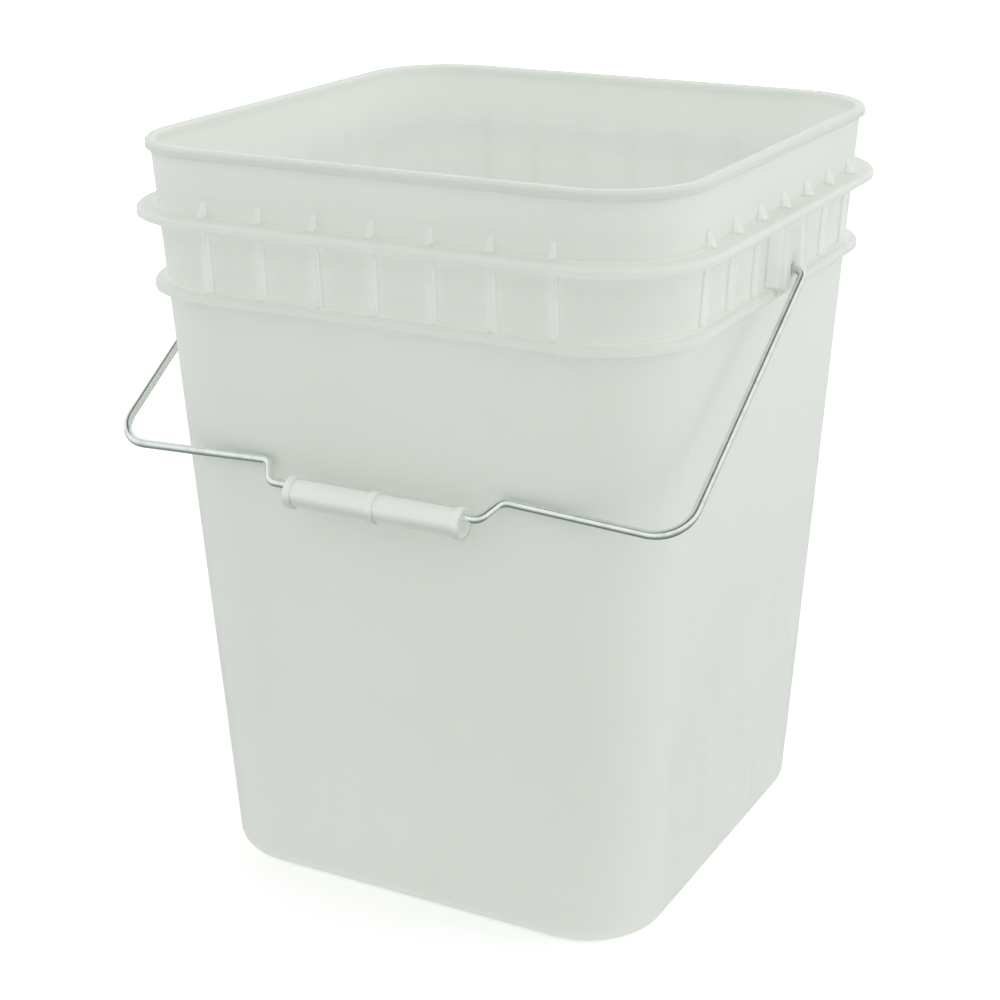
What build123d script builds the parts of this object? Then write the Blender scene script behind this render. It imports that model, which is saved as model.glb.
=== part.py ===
# Square plastic bucket with a wire bail and a loose hand grip.
# The floor lies on Z = 0, the bail swings about X, and it rests against the front wall at -Y.
import os
from math import asin, atan, ceil, cos, floor, hypot, radians, sin

from build123d import *

# Wall of the bucket: a square with round corners that widens from its rounded foot to the rim
height = 340.0
base_half_width = 108.7
rim_half_width = 126.6
base_corner_radius = 37.2
rim_corner_radius = 39.5
wall = 2.3
foot_radius = 6.0
foot_band_angle = 22.5

# Floor: a panel raised above the ring that the bucket stands on, with the moulding gate under it
floor_thickness = 2.8
foot_ring_width = 10.0
panel_rise = 2.4
panel_step_angle = 35.0
gate_radius = 4.0
gate_height = 1.2

# Rim bead round the mouth
bead_height = 4.0
bead_reach = 2.2
bead_chamfer = 1.2
rim_inner_chamfer = 0.8

# Flanges round the neck, with their undersides this far below the rim
upper_flange_drop = 32.3
upper_flange_reach = 9.5
lower_flange_drop = 64.8
lower_flange_reach = 5.6
lip_thickness = 3.4
lip_chamfer = 1.0
flange_root_rise = 1.0

# Ribs between the flanges and gussets on top of the upper flange, all thinner at their tops
rib_pitch = 27.0
rib_foot_thickness = 3.0
rib_top_thickness = 1.8
rib_reach = 2.6
gusset_rise = 8.2
gusset_reach = 5.0

# Bail ears on the left and right faces
pivot_drop = 54.2
ear_width = 24.0
ear_reach = 9.4
ear_channel_width = 15.0
ear_channel_depth = 1.6
ear_foot_slope = 4.5
ear_socket_depth = 6.0
ear_hole_clearance = 0.35

# Wire bail
wire_diameter = 3.8
arm_clearance = 0.5
stub_tip_clearance = 0.6
elbow_radius = 5.0
shoulder_reach = 144.6
shoulder_slope = 4.0
shoulder_radius = 15.0
shoulder_clearance = 0.3
jog_depth = 11.0
jog_outer = 56.5
jog_inner = 50.5
jog_radius = 5.0

# Hand grip
grip_length = 84.0
grip_diameter = 12.0
grip_collar_diameter = 14.1
grip_collar_length = 3.4
grip_collar_chamfer = 0.5
grip_bore_diameter = 10.4
grip_bore_chamfer = 0.5
grip_hang_clearance = 0.3
grip_slide = 1.6

# Places worked out from the sizes above
wire_radius = wire_diameter / 2
wall_slope = (rim_half_width - base_half_width) / height
corner_slope = (rim_corner_radius - base_corner_radius) / height
upper_lip_z = height - upper_flange_drop
lower_lip_z = height - lower_flange_drop
pivot_z = height - pivot_drop


def half_width(z):
    """Half the width of the wall's outside at a height."""
    return base_half_width + wall_slope * z


def corner_radius(z):
    """Radius of the wall's outside corners at a height."""
    return base_corner_radius + corner_slope * z


def square(z, grow=0.0):
    """Round-cornered square that follows the wall at a height, moved outwards by grow."""
    side = 2 * (half_width(z) + grow)
    with BuildSketch(Plane.XY.offset(z)) as outline:
        RectangleRounded(side, side, corner_radius(z) + grow)
    return outline.sketch


def foot_squares(z, grow, radius):
    """Squares that round the foot above a height, from its flat underside out to the wall."""
    bands = ceil(90 / foot_band_angle)
    turns = [radians(90 * band / bands) for band in range(bands + 1)]
    return [square(z + radius * (1 - cos(turn)), grow - radius * (1 - sin(turn))) for turn in turns]


def floor_panel(z, grow):
    """Raised floor panel above a height, with sloping sides."""
    inset = foot_radius + foot_ring_width - grow
    side = 2 * (base_half_width - inset)
    with BuildPart() as panel:
        with BuildSketch(Plane.XY.offset(z)):
            RectangleRounded(side, side, base_corner_radius - inset)
        extrude(amount=panel_rise, taper=panel_step_angle)
    return panel.part


def hoop(low_z, root_z, reach, thickness, edge):
    """Lip that runs round the wall: flat and crisp below, chamfered above, sloping up to its root."""
    root_y = half_width(low_z) - wall / 2
    lip_y = half_width(low_z) + reach
    neck_y = half_width(root_z) - wall / 2
    with BuildSketch(Plane.YZ) as profile:
        with BuildLine():
            Polyline(
                (-root_y, low_z),
                (-lip_y, low_z),
                (-lip_y, low_z + thickness),
                (-half_width(root_z), root_z),
                (-neck_y, root_z),
                close=True,
            )
        make_face()
        chamfer(profile.vertices().group_by(Axis.X)[0].sort_by(Axis.Y)[-1], edge)
    with BuildLine(Plane.XY.offset(low_z)) as track:
        add(square(low_z).face().outer_wire())
    with BuildPart() as ring:
        sweep(profile.sketch, path=track.wires()[0])
    return ring.part


def standing_plate(outline):
    """Upright plate on the front face, drawn from the side, that gets thinner from its foot to its top."""
    foot_z = min(z for y, z in outline)
    top_z = max(z for y, z in outline)
    foot_half = rib_foot_thickness / 2
    top_half = rib_top_thickness / 2
    with BuildPart() as plate:
        with BuildSketch(Plane.YZ):
            with BuildLine():
                Polyline(*outline, close=True)
            make_face()
        extrude(amount=foot_half, both=True)
        with BuildSketch(Plane.XZ):
            with BuildLine():
                Polyline((-foot_half, foot_z), (foot_half, foot_z), (top_half, top_z), (-top_half, top_z),
                         close=True)
            make_face()
        extrude(amount=2 * rim_half_width, mode=Mode.INTERSECT)
    return plate.part


# Stiffeners of the front face: long ribs between the flanges, gussets above the upper one
rib_top_z = upper_lip_z + lip_thickness / 2
rib_low_z = lower_lip_z + lip_thickness / 2
rib = standing_plate(
    [
        (-half_width(rib_low_z) + wall / 2, rib_low_z),
        (-half_width(rib_low_z) - rib_reach, rib_low_z),
        (-half_width(rib_top_z) - rib_reach, rib_top_z),
        (-half_width(rib_top_z) + wall / 2, rib_top_z),
    ]
)

gusset_low_z = upper_lip_z + lip_thickness / 2
gusset_lip_z = upper_lip_z + lip_thickness
gusset_top_z = gusset_lip_z + gusset_rise
gusset_lip_y = half_width(upper_lip_z) + gusset_reach
gusset = standing_plate(
    [
        (-half_width(gusset_low_z) + wall / 2, gusset_low_z),
        (-gusset_lip_y, gusset_low_z),
        (-gusset_lip_y, gusset_lip_z),
        (-half_width(gusset_top_z), gusset_top_z),
        (-half_width(gusset_top_z) + wall / 2, gusset_top_z),
    ]
)

flat_half_width = half_width(lower_lip_z) - corner_radius(lower_lip_z)
ribs_each_side = floor(flat_half_width / rib_pitch)
rib_places = [rib_pitch * step for step in range(-ribs_each_side, ribs_each_side + 1)]
ear_half_width = ear_width / 2
rib_places_beside_ear = [x for x in rib_places if abs(x) > ear_half_width]

# Ear on the front face, turned to the left and right faces when the bucket is put together
ear_face = half_width(pivot_z) + ear_reach
ear_floor = ear_face - ear_channel_depth
with BuildPart() as ear:
    with BuildSketch(Plane.YZ):
        with BuildLine():
            Polyline(
                (-half_width(lower_lip_z) + wall / 2, lower_lip_z),
                (-half_width(lower_lip_z) - lower_flange_reach, lower_lip_z),
                (-ear_face, lower_lip_z + ear_foot_slope),
                (-ear_face, gusset_low_z),
                (-half_width(gusset_low_z) + wall / 2, gusset_low_z),
                close=True,
            )
        make_face()
    extrude(amount=ear_half_width, both=True)
    with BuildSketch(Plane.XZ.offset(ear_floor)):
        with Locations((0, pivot_z)):
            Rectangle(ear_channel_width, 2 * (upper_lip_z - pivot_z))
    extrude(amount=ear_channel_depth, mode=Mode.SUBTRACT)

# Inside of the bucket above the floor, before the panel is raised, with a flared mouth
with BuildPart() as cavity:
    loft([*foot_squares(floor_thickness, -wall, foot_radius - wall), square(height, -wall)], ruled=True)
    loft([square(height - rim_inner_chamfer, -wall), square(height, rim_inner_chamfer - wall)], ruled=True)

with BuildPart() as bucket:
    loft([*foot_squares(0, 0, foot_radius), square(height)], ruled=True)
    bead_low_z = height - bead_height
    add(hoop(bead_low_z, height, bead_reach, bead_height, bead_chamfer))
    add(hoop(upper_lip_z, upper_lip_z + lip_thickness + flange_root_rise,
             upper_flange_reach, lip_thickness, lip_chamfer))
    add(hoop(lower_lip_z, lower_lip_z + lip_thickness + flange_root_rise,
             lower_flange_reach, lip_thickness, lip_chamfer))
    for turn in (0, 90, 180, 270):
        has_ear = turn in (90, 270)
        for x in rib_places:
            with Locations(Location((0, 0, 0), (0, 0, turn)) * Location((x, 0, 0))):
                add(gusset)
                if x in rib_places_beside_ear or not has_ear:
                    add(rib)
        if has_ear:
            with Locations(Location((0, 0, 0), (0, 0, turn))):
                add(ear.part)
    add(cavity.part, mode=Mode.SUBTRACT)
    add(floor_panel(floor_thickness, wall))
    add(floor_panel(0, 0), mode=Mode.SUBTRACT)
    with Locations((0, 0, panel_rise)):
        Cylinder(gate_radius, gate_height, align=(Align.CENTER, Align.CENTER, Align.MAX))
    for outward in (Vector(-1, 0, 0), Vector(1, 0, 0)):
        with Locations(Plane(origin=outward * ear_floor + Vector(0, 0, pivot_z), z_dir=outward)):
            Hole(wire_radius + ear_hole_clearance, depth=ear_socket_depth)
bucket.part.label = "bucket"

# Bail: one bent wire in one plane, hanging until its shoulders meet the front wall
shoulder_rise = half_width(pivot_z) / hypot(1, wall_slope) + wire_radius + shoulder_clearance
hang_angle = asin(shoulder_rise / shoulder_reach) - atan(wall_slope)
bail_plane = Plane(
    origin=(0, 0, pivot_z),
    x_dir=(1, 0, 0),
    z_dir=(0, cos(hang_angle), -sin(hang_angle)),
)
stub_tip = ear_floor - ear_socket_depth + stub_tip_clearance
flange_half_width = half_width(upper_lip_z) + upper_flange_reach
arm_x = max(flange_half_width, ear_face) + arm_clearance + wire_radius
grip_reach = shoulder_reach + jog_depth
right_half = [
    (jog_inner, grip_reach),
    (jog_outer, shoulder_reach),
    (arm_x, shoulder_reach + shoulder_slope),
    (arm_x, 0),
    (stub_tip, 0),
]
left_half = [(-x, reach) for x, reach in reversed(right_half)]
right_bends = [jog_radius, jog_radius, shoulder_radius, elbow_radius]
with BuildPart() as bail:
    with BuildLine(bail_plane) as wire_line:
        FilletPolyline(*left_half, *right_half, radius=[*reversed(right_bends), *right_bends])
    with BuildSketch(Plane(origin=wire_line.line @ 0, z_dir=wire_line.line % 0)):
        Circle(wire_radius)
    sweep(path=wire_line.wires()[0])
bail.part.label = "bail"

# Grip: a plain tube with collars at its ends and its middle, hanging on the wire
bore_radius = grip_bore_diameter / 2
grip_drop = bore_radius - wire_radius - grip_hang_clearance
grip_centre = bail_plane.from_local_coords(Vector(grip_slide, grip_reach, 0)) - Vector(0, 0, grip_drop)
grip_plane = Plane(origin=grip_centre, x_dir=(1, 0, 0), z_dir=(0, -1, 0))
collar_step = (grip_length - grip_collar_length) / 2
with BuildPart() as grip:
    with BuildSketch(grip_plane) as grip_half:
        with Locations((0, bore_radius)):
            Rectangle(grip_length, grip_diameter / 2 - bore_radius, align=(Align.CENTER, Align.MIN))
        with Locations(*[(x, bore_radius) for x in (-collar_step, 0, collar_step)]):
            Rectangle(
                grip_collar_length,
                grip_collar_diameter / 2 - bore_radius,
                align=(Align.CENTER, Align.MIN),
            )
        chamfer(grip_half.vertices().group_by(Axis.Y)[-1], grip_collar_chamfer)
        bore_ends = grip_half.vertices().group_by(Axis.Y)[0]
        chamfer([bore_ends.sort_by(Axis.X)[0], bore_ends.sort_by(Axis.X)[-1]], grip_bore_chamfer)
    revolve(axis=Axis(grip_centre, (1, 0, 0)))
grip.part.label = "grip"

os.makedirs("parts", exist_ok=True)
export_step(bucket.part, "parts/bucket.step")
export_step(bail.part, "parts/bail.step")
export_step(grip.part, "parts/grip.step")
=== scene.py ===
import math

import bpy
from mathutils import Euler, Matrix, Vector


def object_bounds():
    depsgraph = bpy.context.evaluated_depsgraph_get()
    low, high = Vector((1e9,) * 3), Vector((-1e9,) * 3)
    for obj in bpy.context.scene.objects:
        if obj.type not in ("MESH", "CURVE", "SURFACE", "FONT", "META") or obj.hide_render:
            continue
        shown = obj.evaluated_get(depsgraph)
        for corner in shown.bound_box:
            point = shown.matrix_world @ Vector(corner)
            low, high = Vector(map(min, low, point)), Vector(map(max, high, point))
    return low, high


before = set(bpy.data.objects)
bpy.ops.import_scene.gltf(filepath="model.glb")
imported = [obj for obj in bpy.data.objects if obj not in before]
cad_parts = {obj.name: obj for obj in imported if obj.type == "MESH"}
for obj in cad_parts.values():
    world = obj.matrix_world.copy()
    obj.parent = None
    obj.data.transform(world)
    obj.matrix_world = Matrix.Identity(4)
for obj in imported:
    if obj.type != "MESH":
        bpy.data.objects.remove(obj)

cad_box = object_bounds()

WHITE = (1.0, 1.0, 1.0, 1.0)

# Camera, as the photograph was taken
CAMERA_PLACE = (0.42765, -0.81829, 0.50021)
CAMERA_AZIMUTH = 28.14
CAMERA_ELEVATION = 20.27
CAMERA_ROLL = -0.31
CAMERA_LENS = 74.95
SENSOR_WIDTH = 36.0

# Light of the white studio, from the walls at the horizon up to the ceiling
WALL_FRONT_LEVEL = 0.38
WALL_BACK_LEVEL = 0.85
CEILING_LEVEL = 0.95
CEILING_RISE = (0.0, 0.7)

# Darker opening overhead, which shows in reflections
OPENING_RISE = (0.76, 0.9)
OPENING_LEVEL = 0.2

# Lamps: name, place, target, size in metres, power in watts
LAMPS = (
    ("right", (2.0, 0.5, 0.8), (0, 0, 0.12), 1.2, 6.0),
    ("left", (-2.0, -0.3, 0.8), (0, 0, 0.12), 1.2, 1.6),
    ("key", (0.15, -1.73, 1.25), (0, 0, 0.2), 1.5, 1.7),
)

# Floor, with the colour that bounces on to the object
FLOOR_HALF = 8.0
FLOOR_BOUNCE = (0.82, 0.82, 0.82, 1.0)
FLOOR_ROUGHNESS = 0.9

# Light that the floor gives off round the object, by distance from its middle
POOL_REACH = (0.16, 0.5)
POOL_LEVEL = 0.3

# Light added where the camera sees the floor, so that it looks white
GLOW_REACH = (0.5, 1.6)
GLOW_NEAR = 0.17
GLOW_FAR = 0.9

# Floor as it shows in reflections, greenish, with a painted shadow that makes it darker near the
# object's middle
MIRROR_COLOUR = (0.86, 1.0, 0.92, 1.0)
MIRROR_REACH = (0.14, 0.9)
MIRROR_NEAR = 0.15
MIRROR_FAR = 0.8

# Outer wall of the bucket at its foot and its rim, and its two flanges
BASE_HALF_WIDTH = 0.1087
BASE_CORNER = 0.0372
RIM_HALF_WIDTH = 0.1266
RIM_CORNER = 0.0395
UPPER_FLANGE_FOOT = 0.3077
LOWER_FLANGE_FOOT = 0.2752
FLANGE_HEIGHT = 0.0044

# Edges of the bucket's regions, in metres out from the outer wall
INSIDE_EDGE = (-0.0019, -0.0009)
LIP_EDGE = (0.0005, 0.003)
RIB_EDGE = (0.0002, 0.0008)
EAR_EDGE = (0.0058, 0.0068)
RIM_EDGE = (-0.0024, -0.0018)
RIM_INSIDE_SHARE = 0.2

# Heights over which regions fade, and how softly bands of height end
DEPTH_FADE = (0.2, 0.325)
NECK_FADE = (0.325, 0.33)
RIM_FADE = (0.3345, 0.336)
DUST_FADE = (0.0, 0.05)
DUST_SHARE = 0.06
NOOK_SOFTNESS = 0.001
LIP_SOFTNESS = 0.0006
BACKED_SOFTNESS = 0.006

# Creases, found by how open a spot is, and faces that stand across the wall
CREASE_DISTANCE = 0.008
CREASE_OPENNESS = (0.45, 0.95)
CREASE_SAMPLES = 6
ACROSS_WALL = (0.3, 0.8)

# Colours of the bucket, linear
PLASTIC_PALE = (0.764, 0.800, 0.752, 1.0)
PLASTIC_DEEP = (0.742, 0.778, 0.730, 1.0)

# Colours that its regions are multiplied by or mixed with, in this order: painted light that makes
# the inside, the deep inside, creases, the nook between the flanges, the ribs, their sides and the
# inside behind the flanges lighter; painted shade that makes the lips, the ear and the rim darker;
# and real dust at the foot
BUCKET_PAINTED_LIGHT_AND_DUST = (
    ("inside", (1.11, 1.105, 1.105, 1.0), "MULTIPLY"),
    ("depth", (1.095, 1.105, 1.09, 1.0), "MULTIPLY"),
    ("crease", (1.10, 1.10, 1.10, 1.0), "MULTIPLY"),
    ("nook", (1.07, 1.08, 1.065, 1.0), "MULTIPLY"),
    ("lip", (0.95, 0.95, 0.95, 1.0), "MULTIPLY"),
    ("rib", (1.02, 1.04, 1.02, 1.0), "MULTIPLY"),
    ("rib_side", (0.875, 0.928, 0.862, 1.0), "MIX"),
    ("ear", (0.92, 0.915, 0.92, 1.0), "MULTIPLY"),
    ("backed", (1.045, 1.055, 1.04, 1.0), "MULTIPLY"),
    ("rim", (0.88, 0.88, 0.88, 1.0), "MULTIPLY"),
    ("dust", (0.640, 0.640, 0.590, 1.0), "MIX"),
)

# Surface of the bucket
BUCKET_CLOUD_SCALE = 9
BUCKET_EDGE = 0.001
BUCKET_SPECULAR = 0.2
SCUFF_STRETCH = (1, 1, 0.12)
SCUFF_SCALE = 190
SCUFF_DETAIL = 6
SCUFF_GRAIN = 0.62
SCUFF_RANGE = (0.42, 0.72)
SCUFF_ROUGHNESS = (0.34, 0.52)
WAVE_SCALE = 14
WAVE_DETAIL = 2
WAVE_DEPTH = 0.0012
MOULD_SCALE = 1300
MOULD_DETAIL = 2
MOULD_DEPTH = 0.00003

# How far light spreads in the bucket, in metres, and which way it goes on
WALL_SCATTER = 0.007
RIB_SCATTER = 0.02
SCATTER_COLOUR = (1.0, 1.05, 1.0)
SCATTER_FORWARD = 0.7

# Painted glow, given off as emission, that stands in for light coming through the plastic behind
# the ribs, in the nook between the flanges and round the grip's bore
PLASTIC_GLOW = (0.95, 1.0, 0.94, 1.0)
RIB_GLOW = 0.035
NOOK_GLOW = 0.02
BORE_GLOW = 0.14

# Grip: its middle, its colours, the painted shade on its underside and the heights over which that
# shade fades, its bore by radius
GRIP_AXIS = (0.0016, -0.13112, 0.199021)
GRIP_PALE = (0.905, 0.945, 0.90, 1.0)
GRIP_DEEP = (0.865, 0.905, 0.86, 1.0)
GRIP_UNDERSIDE_SHADE = (0.73, 0.75, 0.725, 1.0)
GRIP_UNDERSIDE = (0.1972, 0.2006)
BORE_SCATTER_EDGE = (0.0053, 0.0058)
BORE_GLOW_EDGE = (0.0053, 0.0056)
BORE_SCATTER = 0.006
GRIP_SCATTER = 0.0009

# Surface of the grip
GRIP_CLOUD_SCALE = 40
GRIP_EDGE = 0.0005
RUB_STRETCH = (0.15, 1, 1)
RUB_SCALE = 420
RUB_DETAIL = 5
RUB_RANGE = (0.35, 0.7)
RUB_ROUGHNESS = (0.32, 0.5)
SCRATCH_SCALE = 600
SCRATCH_DEPTH = 0.00004

# Wire
ZINC_BRIGHT = (0.80, 0.838, 0.812, 1.0)
ZINC_DULL = (0.69, 0.726, 0.703, 1.0)
PATCH_SCALE = 160
PATCH_DETAIL = 4
PATCH_RANGE = (0.5, 0.72)
TARNISH_SCALE = 300
TARNISH_DETAIL = 5
TARNISH_RANGE = (0.35, 0.7)
TARNISH_ROUGHNESS = (0.05, 0.11)
WIRE_EDGE = 0.0003
WIRE_MARK_SCALE = 900
WIRE_MARK_DEPTH = 0.00003

# Shared by the materials
CLOUD_RANGE = (0.3, 0.7)
EDGE_SAMPLES = 4
SHARP_ANGLE = math.radians(32)

# Colour sockets of a mix node
MIX_SHARE = 0
MIX_FIRST = 6
MIX_SECOND = 7
MIX_RESULT = 2


def feed(tree, node, inputs):
    """Gives a node's inputs their values; each is a constant or a socket."""
    for name, value in inputs.items():
        if isinstance(value, bpy.types.NodeSocket):
            tree.links.new(value, node.inputs[name])
        else:
            node.inputs[name].default_value = value


def add_node(tree, kind, inputs):
    """New shader node with its inputs fed."""
    node = tree.nodes.new("ShaderNode" + kind)
    feed(tree, node, inputs)
    return node


def new_material(name):
    """New material with its node tree and its principled shader."""
    material = bpy.data.materials.new(name)
    material.use_nodes = True
    tree = material.node_tree
    return material, tree, tree.nodes["Principled BSDF"]


def place_on_object(tree, stretch=(1, 1, 1)):
    """Object coordinates in metres, stretched along each axis."""
    coordinates = tree.nodes.new("ShaderNodeTexCoord")
    mapping = add_node(tree, "Mapping", {"Vector": coordinates.outputs["Object"], "Scale": stretch})
    return mapping.outputs["Vector"]


def height_of(tree, place):
    """Upward part of a vector."""
    return add_node(tree, "SeparateXYZ", {"Vector": place}).outputs["Z"]


def noise(tree, place, scale, detail=3.0, roughness=0.5):
    """Noise between 0 and 1."""
    node = add_node(tree, "TexNoise", {
        "Vector": place, "Scale": scale, "Detail": detail, "Roughness": roughness})
    return node.outputs["Fac"]


def spread(tree, value, low, high, new_low, new_high):
    """Maps one range of values on to another, without going past its ends."""
    node = add_node(tree, "MapRange", {
        "Value": value, "From Min": low, "From Max": high, "To Min": new_low, "To Max": new_high})
    return node.outputs["Result"]


def blend(tree, share, first, second, how="MIX"):
    """Blends two colours; each is a colour or a socket."""
    node = tree.nodes.new("ShaderNodeMix")
    node.data_type = "RGBA"
    node.blend_type = how
    feed(tree, node, {MIX_SHARE: share, MIX_FIRST: first, MIX_SECOND: second})
    return node.outputs[MIX_RESULT]


def clouds(tree, place, scale, pale, deep):
    """Two colours that drift into each other."""
    share = spread(tree, noise(tree, place, scale), *CLOUD_RANGE, 0, 1)
    return blend(tree, share, pale, deep)


def vector_node(tree, operation, *vectors):
    """Node for one step of vector arithmetic; each vector is a constant or a socket."""
    node = tree.nodes.new("ShaderNodeVectorMath")
    node.operation = operation
    feed(tree, node, dict(enumerate(vectors)))
    return node


def vector_step(tree, operation, *vectors):
    """Vector that a step of vector arithmetic gives."""
    return vector_node(tree, operation, *vectors).outputs["Vector"]


def vector_value(tree, operation, *vectors):
    """Number that a step of vector arithmetic gives, such as a length."""
    return vector_node(tree, operation, *vectors).outputs["Value"]


def math_step(tree, operation, first, second):
    """One step of arithmetic on two sockets."""
    node = tree.nodes.new("ShaderNodeMath")
    node.operation = operation
    feed(tree, node, {0: first, 1: second})
    return node.outputs["Value"]


def mix_shaders(tree, share, first, second):
    """Passes from the first of two shader nodes to the second."""
    return add_node(tree, "MixShader", {0: share, 1: first.outputs[0], 2: second.outputs[0]})


def band(tree, value, low, high, soft):
    """1 between two values, fading to 0 outside them."""
    rise = spread(tree, value, low - soft, low, 0, 1)
    fall = spread(tree, value, high, high + soft, 1, 0)
    return math_step(tree, "MULTIPLY", rise, fall)


def openness(tree, distance):
    """How open a spot is within a distance: 1 on a flat wall, less in a crease."""
    node = add_node(tree, "AmbientOcclusion", {"Distance": distance})
    node.samples = CREASE_SAMPLES
    node.only_local = True
    return node.outputs["AO"]


def soft_edges(tree, radius):
    """Normal that rounds every edge by a small radius."""
    node = add_node(tree, "Bevel", {"Radius": radius})
    node.samples = EDGE_SAMPLES
    return node.outputs["Normal"]


def bump(tree, height, depth, normal):
    """Normal pushed in and out by a height."""
    node = add_node(tree, "Bump", {
        "Strength": 1.0, "Distance": depth, "Height": height, "Normal": normal})
    return node.outputs["Normal"]


def stand_out(tree, place, height):
    """Metres that a point stands out from the bucket's outer wall, below zero inside it.

    Comes with the level way out from the wall, without its signs.
    """
    rim_z = cad_box[1][2]
    base_flat = BASE_HALF_WIDTH - BASE_CORNER
    rim_flat = RIM_HALF_WIDTH - RIM_CORNER
    flat = spread(tree, height, 0, rim_z, base_flat, rim_flat)
    corner = spread(tree, height, 0, rim_z, BASE_CORNER, RIM_CORNER)
    flats = add_node(tree, "CombineXYZ", {"X": flat, "Y": flat}).outputs["Vector"]
    level = vector_step(tree, "MULTIPLY", place, (1, 1, 0))
    beyond = vector_step(tree, "SUBTRACT", vector_step(tree, "ABSOLUTE", level), flats)
    beyond = vector_step(tree, "MAXIMUM", beyond, (0, 0, 0))
    out = math_step(tree, "SUBTRACT", vector_value(tree, "LENGTH", beyond), corner)
    return out, vector_step(tree, "NORMALIZE", beyond)


def across_wall(tree, way_out):
    """1 on faces that stand across the wall, such as the sides of a rib, and 0 along it."""
    surface = tree.nodes.new("ShaderNodeNewGeometry")
    normal = vector_step(tree, "ABSOLUTE", surface.outputs["True Normal"])
    along = vector_value(tree, "DOT_PRODUCT", normal, way_out)
    return spread(tree, along, *ACROSS_WALL, 1, 0)


def bucket_regions(tree, place):
    """Shares, by name, that each point of the bucket has in the regions that differ in look."""
    height = height_of(tree, place)
    out, way_out = stand_out(tree, place, height)

    def both(first, second):
        return math_step(tree, "MULTIPLY", first, second)

    def at_flanges(soft):
        bands = [band(tree, height, foot, foot + FLANGE_HEIGHT, soft)
                 for foot in (UPPER_FLANGE_FOOT, LOWER_FLANGE_FOOT)]
        return math_step(tree, "ADD", *bands)

    region = {}
    region["inside"] = spread(tree, out, *INSIDE_EDGE, 1, 0)
    region["depth"] = both(region["inside"], spread(tree, height, *DEPTH_FADE, 1, 0))
    region["crease"] = spread(tree, openness(tree, CREASE_DISTANCE), *CREASE_OPENNESS, 1, 0)
    gap = band(tree, height, LOWER_FLANGE_FOOT + FLANGE_HEIGHT, UPPER_FLANGE_FOOT, NOOK_SOFTNESS)
    region["nook"] = both(region["crease"], gap)
    flanges = at_flanges(LIP_SOFTNESS)
    region["lip"] = both(flanges, spread(tree, out, *LIP_EDGE, 0, 1))
    off_flanges = spread(tree, flanges, 0, 1, 1, 0)
    below_rim = both(off_flanges, spread(tree, height, *NECK_FADE, 1, 0))
    region["rib"] = both(below_rim, spread(tree, out, *RIB_EDGE, 0, 1))
    region["rib_side"] = both(region["rib"], across_wall(tree, way_out))
    region["ear"] = both(below_rim, spread(tree, out, *EAR_EDGE, 0, 1))
    region["backed"] = both(region["inside"], at_flanges(BACKED_SOFTNESS))
    outer = spread(tree, out, *RIM_EDGE, RIM_INSIDE_SHARE, 1)
    region["rim"] = both(outer, spread(tree, height, *RIM_FADE, 0, 1))
    region["dust"] = spread(tree, height, *DUST_FADE, DUST_SHARE, 0)
    return region


def natural_plastic():
    """Milky polyethylene: cloudy, satin, a little scuffed, dusty towards the foot, with light and
    shade painted into its colour and a painted glow on the ribs and in the nook between the
    flanges.
    """
    material, tree, shader = new_material("natural_plastic")
    place = place_on_object(tree)
    region = bucket_regions(tree, place)
    colour = clouds(tree, place, BUCKET_CLOUD_SCALE, PLASTIC_PALE, PLASTIC_DEEP)
    # Painted light on the inside, creases, nook, ribs, rib sides and the inside behind the flanges;
    # painted shade on the lips, ear and rim; real dust at the foot
    for name, tint, how in BUCKET_PAINTED_LIGHT_AND_DUST:
        colour = blend(tree, region[name], colour, tint, how)
    upright = place_on_object(tree, SCUFF_STRETCH)
    scuff = noise(tree, upright, SCUFF_SCALE, SCUFF_DETAIL, SCUFF_GRAIN)
    normal = soft_edges(tree, BUCKET_EDGE)
    normal = bump(tree, noise(tree, place, WAVE_SCALE, WAVE_DETAIL), WAVE_DEPTH, normal)
    normal = bump(tree, noise(tree, place, MOULD_SCALE, MOULD_DETAIL), MOULD_DEPTH, normal)
    # Painted glow: emission on the ribs and in the nook between the flanges, standing in for light
    # that comes through the plastic
    lit_rib = math_step(tree, "SUBTRACT", region["rib"], region["ear"])
    rib_glow = spread(tree, lit_rib, 0, 1, 0, RIB_GLOW)
    nook_glow = spread(tree, region["nook"], 0, 1, 0, NOOK_GLOW)
    feed(tree, shader, {
        "Base Color": colour,
        "Roughness": spread(tree, scuff, *SCUFF_RANGE, *SCUFF_ROUGHNESS),
        "Normal": normal,
        "Subsurface Weight": 1.0,
        "Subsurface Radius": SCATTER_COLOUR,
        "Subsurface Scale": spread(tree, region["rib"], 0, 1, WALL_SCATTER, RIB_SCATTER),
        "Subsurface Anisotropy": SCATTER_FORWARD,
        "Specular IOR Level": BUCKET_SPECULAR,
        "Emission Color": PLASTIC_GLOW,
        "Emission Strength": math_step(tree, "ADD", rib_glow, nook_glow),
    })
    return material


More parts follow.
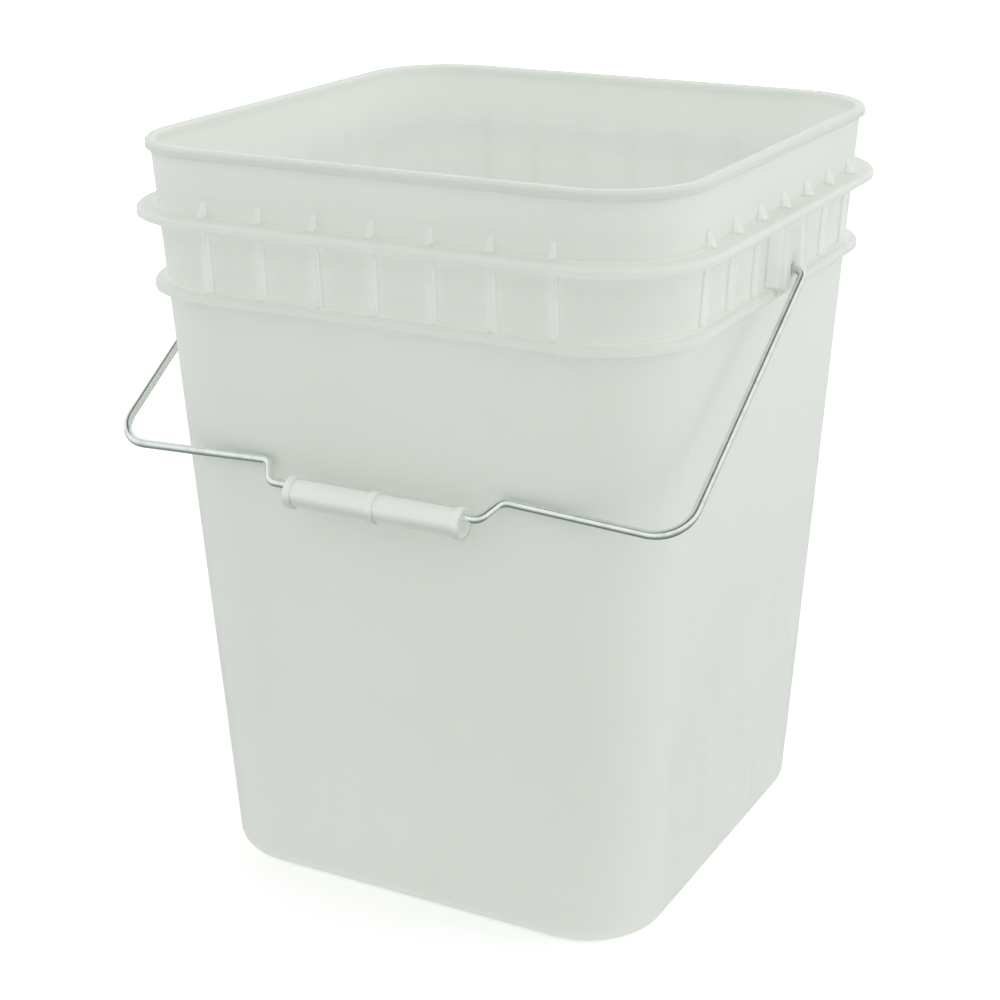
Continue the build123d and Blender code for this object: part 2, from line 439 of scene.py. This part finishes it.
def grip_plastic():
    """Whiter polyethylene of the hand grip, rubbed dull by hands, with painted shade on its
    underside and a painted glow in its bore.
    """
    material, tree, shader = new_material("grip_plastic")
    place = place_on_object(tree)
    along = place_on_object(tree, RUB_STRETCH)
    colour = clouds(tree, place, GRIP_CLOUD_SCALE, GRIP_PALE, GRIP_DEEP)
    # Painted shade: the grip darker below a height, as if lit from above
    under = spread(tree, height_of(tree, place), *GRIP_UNDERSIDE, 1, 0)
    rub = noise(tree, along, RUB_SCALE, RUB_DETAIL)
    from_middle = vector_step(tree, "SUBTRACT", place, GRIP_AXIS)
    radius = vector_value(tree, "LENGTH", vector_step(tree, "MULTIPLY", from_middle, (0, 1, 1)))
    scratches = noise(tree, along, SCRATCH_SCALE)
    feed(tree, shader, {
        "Base Color": blend(tree, under, colour, GRIP_UNDERSIDE_SHADE, "MULTIPLY"),
        "Roughness": spread(tree, rub, *RUB_RANGE, *RUB_ROUGHNESS),
        "Normal": bump(tree, scratches, SCRATCH_DEPTH, soft_edges(tree, GRIP_EDGE)),
        "Subsurface Weight": 1.0,
        "Subsurface Radius": (1.0, 1.0, 1.0),
        "Subsurface Scale": spread(tree, radius, *BORE_SCATTER_EDGE, BORE_SCATTER, GRIP_SCATTER),
        "Emission Color": PLASTIC_GLOW,
        # Painted glow in the bore, standing in for light that comes through the tube's wall
        "Emission Strength": spread(tree, radius, *BORE_GLOW_EDGE, BORE_GLOW, 0),
    })
    return material


def zinc_wire():
    """Bright zinc plating on drawn wire, with dull patches and fine handling marks."""
    material, tree, shader = new_material("zinc_wire")
    place = place_on_object(tree)
    patch = spread(tree, noise(tree, place, PATCH_SCALE, PATCH_DETAIL), *PATCH_RANGE, 0, 1)
    tarnish = noise(tree, place, TARNISH_SCALE, TARNISH_DETAIL)
    marks = noise(tree, place, WIRE_MARK_SCALE)
    feed(tree, shader, {
        "Base Color": blend(tree, patch, ZINC_BRIGHT, ZINC_DULL),
        "Roughness": spread(tree, tarnish, *TARNISH_RANGE, *TARNISH_ROUGHNESS),
        "Normal": bump(tree, marks, WIRE_MARK_DEPTH, soft_edges(tree, WIRE_EDGE)),
        "Metallic": 1.0,
    })
    return material


def dress(node, material):
    """Gives a CAD node its material and smooth shading between its sharp edges."""
    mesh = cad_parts[node].data
    mesh.materials.clear()
    mesh.materials.append(material)
    mesh.shade_smooth()
    mesh.set_sharp_from_angle(angle=SHARP_ANGLE)


def floor_material():
    """Floor that lights the object, looks white to the camera and greyer in reflections, with a
    painted shadow that darkens it in reflections near the object.
    """
    material, tree, bounce = new_material("floor")
    distance = vector_value(tree, "LENGTH", place_on_object(tree))
    feed(tree, bounce, {
        "Base Color": FLOOR_BOUNCE,
        "Roughness": FLOOR_ROUGHNESS,
        "Emission Color": WHITE,
        "Emission Strength": spread(tree, distance, *POOL_REACH, POOL_LEVEL, 0),
    })
    surface = add_node(tree, "BsdfDiffuse", {"Color": WHITE})
    glow = add_node(tree, "Emission", {
        "Strength": spread(tree, distance, *GLOW_REACH, GLOW_NEAR, GLOW_FAR)})
    seen = add_node(tree, "AddShader", {0: surface.outputs[0], 1: glow.outputs[0]})
    # Painted shadow in reflections: the floor darker near the object's middle
    mirrored = add_node(tree, "Emission", {
        "Color": MIRROR_COLOUR,
        "Strength": spread(tree, distance, *MIRROR_REACH, MIRROR_NEAR, MIRROR_FAR)})
    path = tree.nodes.new("ShaderNodeLightPath")
    shown = mix_shaders(tree, path.outputs["Is Camera Ray"], bounce, seen)
    shown = mix_shaders(tree, path.outputs["Is Glossy Ray"], shown, mirrored)
    feed(tree, tree.nodes["Material Output"], {"Surface": shown.outputs[0]})
    return material


def build_floor():
    """Wide pale floor that keeps the object's shadow."""
    mesh = bpy.data.meshes.new("floor")
    corners = [(-FLOOR_HALF, -FLOOR_HALF, 0), (FLOOR_HALF, -FLOOR_HALF, 0),
               (FLOOR_HALF, FLOOR_HALF, 0), (-FLOOR_HALF, FLOOR_HALF, 0)]
    mesh.from_pydata(corners, [], [(0, 1, 2, 3)])
    floor = bpy.data.objects.new("floor", mesh)
    bpy.context.scene.collection.objects.link(floor)
    mesh.materials.append(floor_material())


def build_world():
    """Light of walls and ceiling, and the white surround that the camera and reflections show."""
    world = bpy.data.worlds.new("studio")
    world.use_nodes = True
    bpy.context.scene.world = world
    tree = world.node_tree
    direction = tree.nodes.new("ShaderNodeTexCoord").outputs["Generated"]
    height = height_of(tree, direction)
    bearing = math.radians(CAMERA_AZIMUTH)
    towards_camera = (math.sin(bearing), -math.cos(bearing), 0)
    ahead = vector_value(tree, "DOT_PRODUCT", direction, towards_camera)
    wall_level = spread(tree, ahead, -1, 1, WALL_BACK_LEVEL, WALL_FRONT_LEVEL)
    sky = tree.nodes["Background"]
    feed(tree, sky, {
        "Color": WHITE,
        "Strength": spread(tree, height, *CEILING_RISE, wall_level, CEILING_LEVEL)})
    backdrop = add_node(tree, "Background", {
        "Color": WHITE,
        "Strength": spread(tree, height, *OPENING_RISE, 1, OPENING_LEVEL)})
    path = tree.nodes.new("ShaderNodeLightPath")
    looking = path.outputs["Is Camera Ray"]
    for kind in ("Is Glossy Ray", "Is Transmission Ray"):
        looking = math_step(tree, "MAXIMUM", looking, path.outputs[kind])
    choice = mix_shaders(tree, looking, sky, backdrop)
    feed(tree, tree.nodes["World Output"], {"Surface": choice.outputs[0]})


def area_lamp(name, place, target, size, power):
    """Soft square lamp that faces a point and doesn't show in reflections."""
    data = bpy.data.lights.new(name, "AREA")
    data.shape = "SQUARE"
    data.size = size
    data.energy = power
    lamp = bpy.data.objects.new(name, data)
    lamp.visible_glossy = False
    lamp.location = place
    lamp.rotation_mode = "QUATERNION"
    lamp.rotation_quaternion = (Vector(target) - Vector(place)).to_track_quat("-Z", "Y")
    bpy.context.scene.collection.objects.link(lamp)


def build_camera():
    """Camera at the photograph's place."""
    data = bpy.data.cameras.new("camera")
    data.sensor_width = SENSOR_WIDTH
    data.lens = CAMERA_LENS
    camera = bpy.data.objects.new("camera", data)
    tilt = math.radians(90 - CAMERA_ELEVATION)
    turn = Euler((tilt, 0, math.radians(CAMERA_AZIMUTH))).to_matrix()
    turn = turn @ Matrix.Rotation(math.radians(CAMERA_ROLL), 3, "Z")
    camera.matrix_world = Matrix.Translation(CAMERA_PLACE) @ turn.to_4x4()
    bpy.context.scene.collection.objects.link(camera)
    bpy.context.scene.camera = camera


dress("bucket", natural_plastic())
dress("bail", zinc_wire())
dress("grip", grip_plastic())
build_floor()
build_world()
for lamp_row in LAMPS:
    area_lamp(*lamp_row)
build_camera()
bpy.context.scene.view_settings.view_transform = "Standard"
